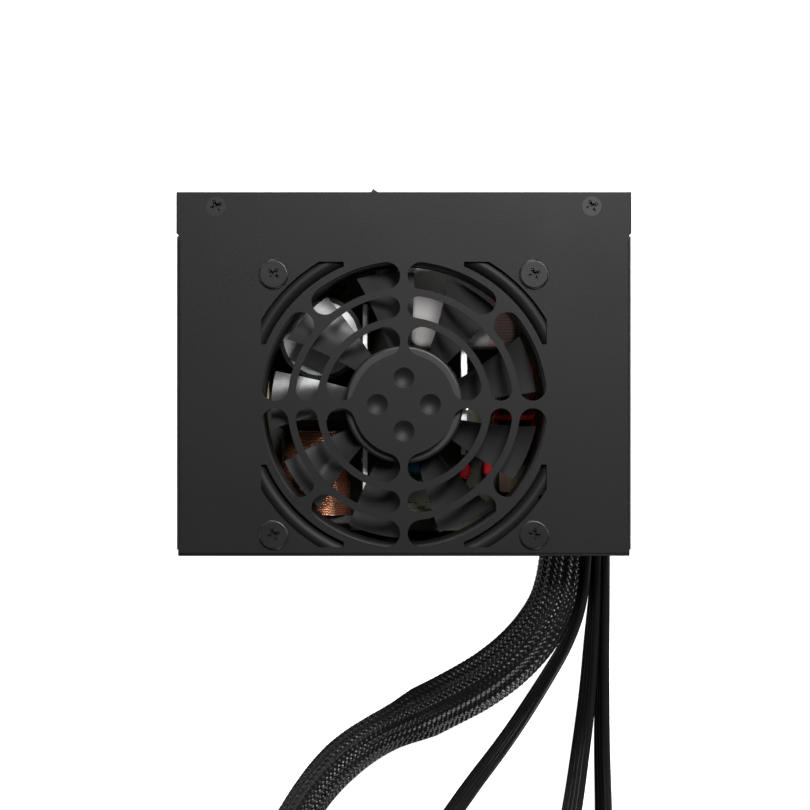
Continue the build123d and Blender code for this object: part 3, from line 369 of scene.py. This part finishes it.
COLLAR_MOUTH = 4.9        # radius of its far rim


def braid_height(turn, along):
    """Height in mm of the outer strand of a plain braid, at turns round and crossings along the lead."""
    a = turn * BRAID_STRANDS + along
    b = turn * BRAID_STRANDS - along
    parity_a = 1 - 2 * (np.floor(a) % 2)
    parity_b = 1 - 2 * (np.floor(b) % 2)
    round_a = np.sqrt(1 - STRAND_ARCH * (2 * (a % 1) - 1) ** 2)
    round_b = np.sqrt(1 - STRAND_ARCH * (2 * (b % 1) - 1) ** 2)
    over_a = BRAID_RELIEF * round_a + BRAID_WAVE * parity_a * np.sin(math.pi * b)
    over_b = BRAID_RELIEF * round_b - BRAID_WAVE * parity_b * np.sin(math.pi * a)
    return np.maximum(over_a, over_b)


def sleeve_lobes(turn, along):
    """Swell in mm of the sleeve over its wires, which wind slowly round each other."""
    outer_wires, inner_wires = 14, 6
    outer_lay, inner_lay, sway_length = 260.0, 170.0, 23.0
    outer = 0.22 * np.sin(2 * math.pi * (outer_wires * turn + along / outer_lay))
    sway = 1.2 * np.sin(along / sway_length)
    return outer + 0.2 * np.sin(2 * math.pi * (inner_wires * turn - along / inner_lay) + sway)


def main_lead():
    """Braided sleeve over the bundle of wires, as one woven tube that thins to their core."""
    line = route_line("main_line", MAIN_ROUTE)
    length = line_length(line) / MM
    bare = length - FAN_OUT
    near, beyond = (BRAID_PITCH / rings for rings in CROSSING_RINGS)
    s = np.concatenate([np.arange(0, FINE_LENGTH, near), np.arange(FINE_LENGTH, bare, beyond),
                        np.linspace(bare, length, CORE_RINGS)])
    places, direction = resample(line, s * MM)
    side, up = side_frames(direction)
    around = BRAID_STRANDS * STRAND_POINTS
    turn = np.arange(around)[None, :] / around
    along = s[:, None]
    lobes = sleeve_lobes(turn, along)
    height = braid_height(turn, along / BRAID_PITCH)
    half = np.interp(s, *zip(*MAIN_WIDTHS))[:, None] / 2
    cloth = np.clip((bare + SLEEVE_END / 2 - along) / SLEEVE_END, 0, 1)
    radius = WIRE_CORE + cloth * (half - BRAID_RELIEF - BRAID_WAVE + lobes + height - WIRE_CORE)
    flat = np.interp(s, *zip(*MAIN_FLATNESS))[:, None]
    angle = 2 * math.pi * turn
    across = (radius * np.cos(angle))[:, :, None] * side[:, None, :] * MM
    rise = (radius * flat * np.sin(angle))[:, :, None] * up[:, None, :] * MM
    points = (places[:, None, :] + across + rise).reshape(-1, 3)
    points[:, 2] = np.maximum(points[:, 2], FLOOR_GAP * MM)
    sleeve = mesh_piece("braided_sleeve", points, grid_faces(len(s), around), BRAID)
    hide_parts("main_cable")
    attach(sleeve, "housing")
    collar = main_collar(line, length)
    wires = end_wires("main_wires", MAIN_ROUTE, 12, 0.8, FAN_OUT)
    return sleeve


def main_collar(line, length):
    """Shrink tube over the sleeve's far end, with drawn-in ends and faint waves."""
    start = length - FAN_OUT - COLLAR_LENGTH + COLLAR_OVERHANG
    rings, around = 25, 48
    s = np.linspace(start, start + COLLAR_LENGTH, rings)
    places, direction = resample(line, s * MM)
    side, up = side_frames(direction)
    angle = 2 * math.pi * np.arange(around)[None, :] / around
    share = ((s - start) / COLLAR_LENGTH)[:, None]
    ends = 0.5 * np.minimum(1, np.minimum(share, 1 - share) * 12)
    waves = 0.07 * np.sin(5 * angle + 9 * share)
    radius = COLLAR_RADIUS + ends + waves - 0.5 * share
    radius = np.where(share > 0.999, COLLAR_MOUTH, radius)
    ring = np.cos(angle)[:, :, None] * side[:, None, :] + np.sin(angle)[:, :, None] * up[:, None, :]
    points = (places[:, None, :] + ring * radius[:, :, None] * MM).reshape(-1, 3)
    points[:, 2] = np.maximum(points[:, 2], FLOOR_GAP / 2 * MM)
    collar = mesh_piece("sleeve_collar", points, grid_faces(len(s), around), COLLAR)
    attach(collar, "housing")
    return collar


def end_wires(name, route, columns, start_pitch, reach):
    """Wires that spread from a lead's end to the two rows of ways in the back of its connector."""
    end, before = np.array(route[-1]), np.array(route[-2])
    forward = (end - before) * (1, 1, 0)
    forward = forward / np.linalg.norm(forward)
    across = np.cross((0, 0, 1), forward)
    rows, way_pitch, wire_radius, steps, around = 2, 4.2, 0.85, 12, 8
    bundle_rise = 4.0     # between the rows, where the wires leave the lead
    points, faces = [], []
    for column in range(columns):
        for row in range(rows):
            offset = column - (columns - 1) / 2
            rise = row - (rows - 1) / 2
            bulge = math.sqrt(max(0.15, 1 - (2 * offset / columns) ** 2))
            first = end - forward * reach + across * offset * start_pitch
            first[2] = max(first[2] + rise * bundle_rise * bulge, wire_radius)
            last = end + forward * 0.4 + across * offset * way_pitch
            last[2] = CONNECTOR_MIDDLE + rise * way_pitch
            pull = reach * 0.45
            corners = [first, first + forward * pull, last - forward * pull, last]
            base = len(points)
            for t in np.linspace(0, 1, steps):
                weights = ((1 - t) ** 3, 3 * t * (1 - t) ** 2, 3 * t * t * (1 - t), t ** 3)
                centre = sum(w * c for w, c in zip(weights, corners))
                for k in range(around):
                    turn = 2 * math.pi * k / around
                    points.append((centre + wire_radius * (across * math.cos(turn)
                                  + np.array((0, 0, math.sin(turn))))) * MM)
            faces += [tuple(base + i for i in face) for face in grid_faces(steps, around)]
    wires = mesh_piece(name, points, faces, WIRE)
    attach(wires, "housing")
    return wires


def ribbon_outline():
    """Outline of a flat lead: one round ridge for each conductor, both faces."""
    points = []
    first = -(RIBBON_CORES - 1) / 2 * CORE_PITCH
    for face in (1, -1):
        order = range(RIBBON_CORES) if face == 1 else range(RIBBON_CORES - 1, -1, -1)
        for core in order:
            centre = first + core * CORE_PITCH
            lowest = 180 if core == 0 else 180 - RIDGE_VALLEY
            highest = 0 if core == RIBBON_CORES - 1 else RIDGE_VALLEY
            start, end = (lowest, highest) if face == 1 else (-highest, -lowest)
            for step in range(RIDGE_STEPS + 1):
                angle = math.radians(start + (end - start) * step / RIDGE_STEPS)
                points.append((centre + CORE_RADIUS * math.cos(angle), CORE_RADIUS * math.sin(angle)))
    return points


def ribbon_lead(name, node, route, lean, connectors, columns):
    """A flat lead standing on edge at its exit, leaning by angles given along its length."""
    line = route_line(name + "_line", route)
    length = line_length(line)
    stations = np.linspace(0, length, int(length / MM / RIBBON_STEP))
    places, direction = resample(line, stations)
    side, up = side_frames(direction)
    angle = np.radians(np.interp(stations / MM, *zip(*lean)))[:, None]
    wide = up * np.cos(angle) - side * np.sin(angle)
    thick = np.cross(wide, direction)
    outline = ribbon_outline()
    narrow = np.interp((length - stations) / MM, [RIBBON_FAN, RIBBON_FAN + 3], [RIBBON_NECK, 1.0])[:, None]
    points = np.stack([places + narrow * (wide * x + thick * y) * MM for x, y in outline], 1).reshape(-1, 3)
    points[:, 2] = np.maximum(points[:, 2], FLOOR_GAP * MM)
    piece = mesh_piece(name, points, grid_faces(len(stations), len(outline)), RIBBON)
    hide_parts(node)
    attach(piece, "housing")
    pieces = [NODES[n] for n in connectors]
    if columns:
        pieces.append(end_wires(name + "_wires", route, columns, CORE_PITCH, RIBBON_FAN + 2))
    return piece


CPU_ROUTE = [
    (53.5, -44.0, 27.2), (53.2, -60.5, 26.5), (49.4, -76.0, 21.8), (41.0, -91.8, 14.6),
    (31.0, -108.8, 7.2), (17.9, -126.3, 4.75), (3.0, -149.0, 4.7), (-17.0, -176.0, 2.6),
    (-50.0, -196.0, 1.5), (-94.0, -204.0, 1.5), (-142.0, -200.0, 1.5), (-176.0, -202.6, 3.2),
    (-195.0, -204.0, 4.7),
]
PCIE_ROUTE = [
    (56.0, -44.0, 27.0), (56.0, -60.0, 26.0), (55.4, -78.0, 18.5), (54.9, -94.0, 11.0),
    (53.5, -110.0, 5.4), (50.2, -134.0, 4.75), (44.0, -163.0, 4.0), (24.0, -195.0, 1.8),
    (-10.0, -218.0, 1.5), (-52.0, -227.0, 1.5), (-100.0, -224.0, 1.5), (-148.0, -228.0, 1.5),
    (-178.0, -226.7, 3.2), (-196.0, -226.0, 4.7),
]
SATA_ROUTE = [
    (58.5, -44.0, 27.0), (58.5, -60.0, 26.0), (58.8, -78.0, 19.0), (59.2, -94.0, 11.0),
    (59.5, -110.0, 5.4), (60.3, -136.0, 4.75), (60.0, -171.0, 3.8), (45.0, -209.0, 1.8),
    (14.0, -237.0, 1.5), (-30.0, -250.0, 3.2), (-76.0, -248.0, 3.2), (-120.0, -252.0, 2.0),
    (-148.0, -250.6, 3.4), (-160.0, -250.0, 4.7),
]
CPU_LEAN = [(0, 0), (20, 2), (33, 5), (45, 9), (60, 13), (100, 21), (130, 32), (180, 80), (400, 88)]
PCIE_LEAN = [(0, 1), (20, 6), (38, 15), (65, 22), (92, 27), (120, 36), (190, 82), (400, 88)]
SATA_LEAN = [(0, 0), (20, 2), (38, 5), (65, 15), (92, 20), (120, 30), (200, 82), (400, 88)]


def leads():
    """All four free leads."""
    main_lead()
    ribbon_lead("cpu_ribbon", "cpu_cable", CPU_ROUTE, CPU_LEAN,
                ["connector_cpu", "latch_cpu_a", "latch_cpu_b"], 4)
    ribbon_lead("pcie_ribbon", "pcie_cable", PCIE_ROUTE, PCIE_LEAN, ["connector_pcie", "latch_pcie"], 4)
    ribbon_lead("sata_ribbon", "sata_cable", SATA_ROUTE, SATA_LEAN, ["connectors_sata"], 0)


# ------------------------------------------------------------------ windings
def boost_choke_turns():
    """Copper wire of the boost choke: one long helix of rounded, nearly square turns."""
    low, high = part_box("boost_choke_winding")
    wire = 0.33 * MM
    pitch = 2.04 * wire
    squareness = 0.6      # power that squares a circle's corners out: 1 leaves it round
    turns = int((high.y - low.y) / pitch)
    middle = np.array([(low.x + high.x) / 2, 0, (low.z + high.z) / 2])
    half_x, half_z = (high.x - low.x) / 2 - wire, (high.z - low.z) / 2 - wire
    per_turn, around = 48, 8
    t = np.arange(turns * per_turn + 1) / per_turn
    c, q = np.cos(2 * math.pi * t), np.sin(2 * math.pi * t)
    x = half_x * np.sign(c) * np.abs(c) ** squareness
    z = half_z * np.sign(q) * np.abs(q) ** squareness
    y = low.y + wire + (high.y - low.y - 2 * wire) * t / turns
    line = np.stack([x, y * 0, z], 1)
    outward = line / np.linalg.norm(line, axis=1)[:, None]
    centre = line + middle + np.stack([y * 0, y, y * 0], 1)
    angle = 2 * math.pi * np.arange(around) / around
    ring = outward[:, None, :] * np.cos(angle)[None, :, None]
    ring = ring + np.array([0, 1, 0])[None, None, :] * np.sin(angle)[None, :, None]
    points = (centre[:, None, :] + ring * wire).reshape(-1, 3)
    coil = mesh_piece("boost_choke_turns", points, grid_faces(len(t), around), COPPER)
    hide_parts("boost_choke_winding")
    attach(coil, "housing")


# ------------------------------------------------------------------ stage
# Sizes and places of the stage are in metres.
FLOOR_HALF = 3.0
FLOOR_DROP = 0.0002       # below the object's lowest point
WORLD_LIGHT = 0.07
LAMPS = [                 # name, place, size and watts
    ("key", (0.21, 0.55, 1.3), 0.36, 20.0),
    ("corner", (0.5, 0.5, 0.5), 0.4, 1.5),
    ("rim", (-0.6, 0.5, 0.3), 0.2, 1.2),
    ("front", (0.35, -1.0, 0.16), 0.4, 4.0),
    ("back", (-0.2, 1.0, 0.13), 0.4, 10.0),
    ("left", (-1.0, -0.1, 0.13), 0.4, 2.5),
    ("right", (1.0, 0.1, 0.13), 0.4, 5.0),
]
LAMP_TARGET = Vector((0, 0, 0.05))
CAMERA_PLACE = (0.0003, -0.00848)
CAMERA_DISTANCE = 0.600   # from the fan face
SEEN_HALF_WIDTH = 0.11117  # at the fan face


def stage():
    """White floor, soft lamps and the camera straight above the fan face."""
    floor_mat = bpy.data.materials.new("floor")
    floor_mat.use_nodes = True
    shader = floor_mat.node_tree.nodes["Principled BSDF"]
    shader.inputs["Base Color"].default_value = (0.8, 0.8, 0.8, 1)
    shader.inputs["Roughness"].default_value = 0.9
    shader.inputs["Emission Color"].default_value = (1, 1, 1, 1)
    shader.inputs["Emission Strength"].default_value = 1.0
    half = FLOOR_HALF
    floor = mesh_piece("floor", [(-half, -half, 0), (half, -half, 0), (half, half, 0), (-half, half, 0)],
                       [(0, 1, 2, 3)], floor_mat, smooth=False)
    floor.location.z = -FLOOR_DROP
    floor.visible_diffuse = False
    floor.visible_glossy = False
    world = bpy.data.worlds.new("studio")
    bpy.context.scene.world = world
    world.use_nodes = True
    world.node_tree.nodes["Background"].inputs["Color"].default_value = (1, 1, 1, 1)
    world.node_tree.nodes["Background"].inputs["Strength"].default_value = WORLD_LIGHT
    for name, place, size, power in LAMPS:
        lamp(name, place, size, power)
    camera = bpy.data.objects.new("camera", bpy.data.cameras.new("camera"))
    bpy.context.scene.collection.objects.link(camera)
    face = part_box("top_cover")[1].z
    camera.location = (*CAMERA_PLACE, face + CAMERA_DISTANCE)
    camera.rotation_euler = (0, 0, 0)
    camera.data.angle = 2 * math.atan(SEEN_HALF_WIDTH / CAMERA_DISTANCE)
    camera.data.clip_start = 0.01
    bpy.context.scene.camera = camera
    bpy.context.scene.view_settings.view_transform = "Standard"


def lamp(name, place, size, power):
    """A square soft light aimed at the middle of the unit."""
    light = bpy.data.lights.new(name, "AREA")
    light.shape = "SQUARE"
    light.size = size
    light.energy = power
    obj = new_object(name, light)
    obj.location = place
    obj.rotation_euler = (LAMP_TARGET - Vector(place)).to_track_quat("-Z", "Y").to_euler()


stage()
leads()
boost_choke_turns()
dress_nodes()
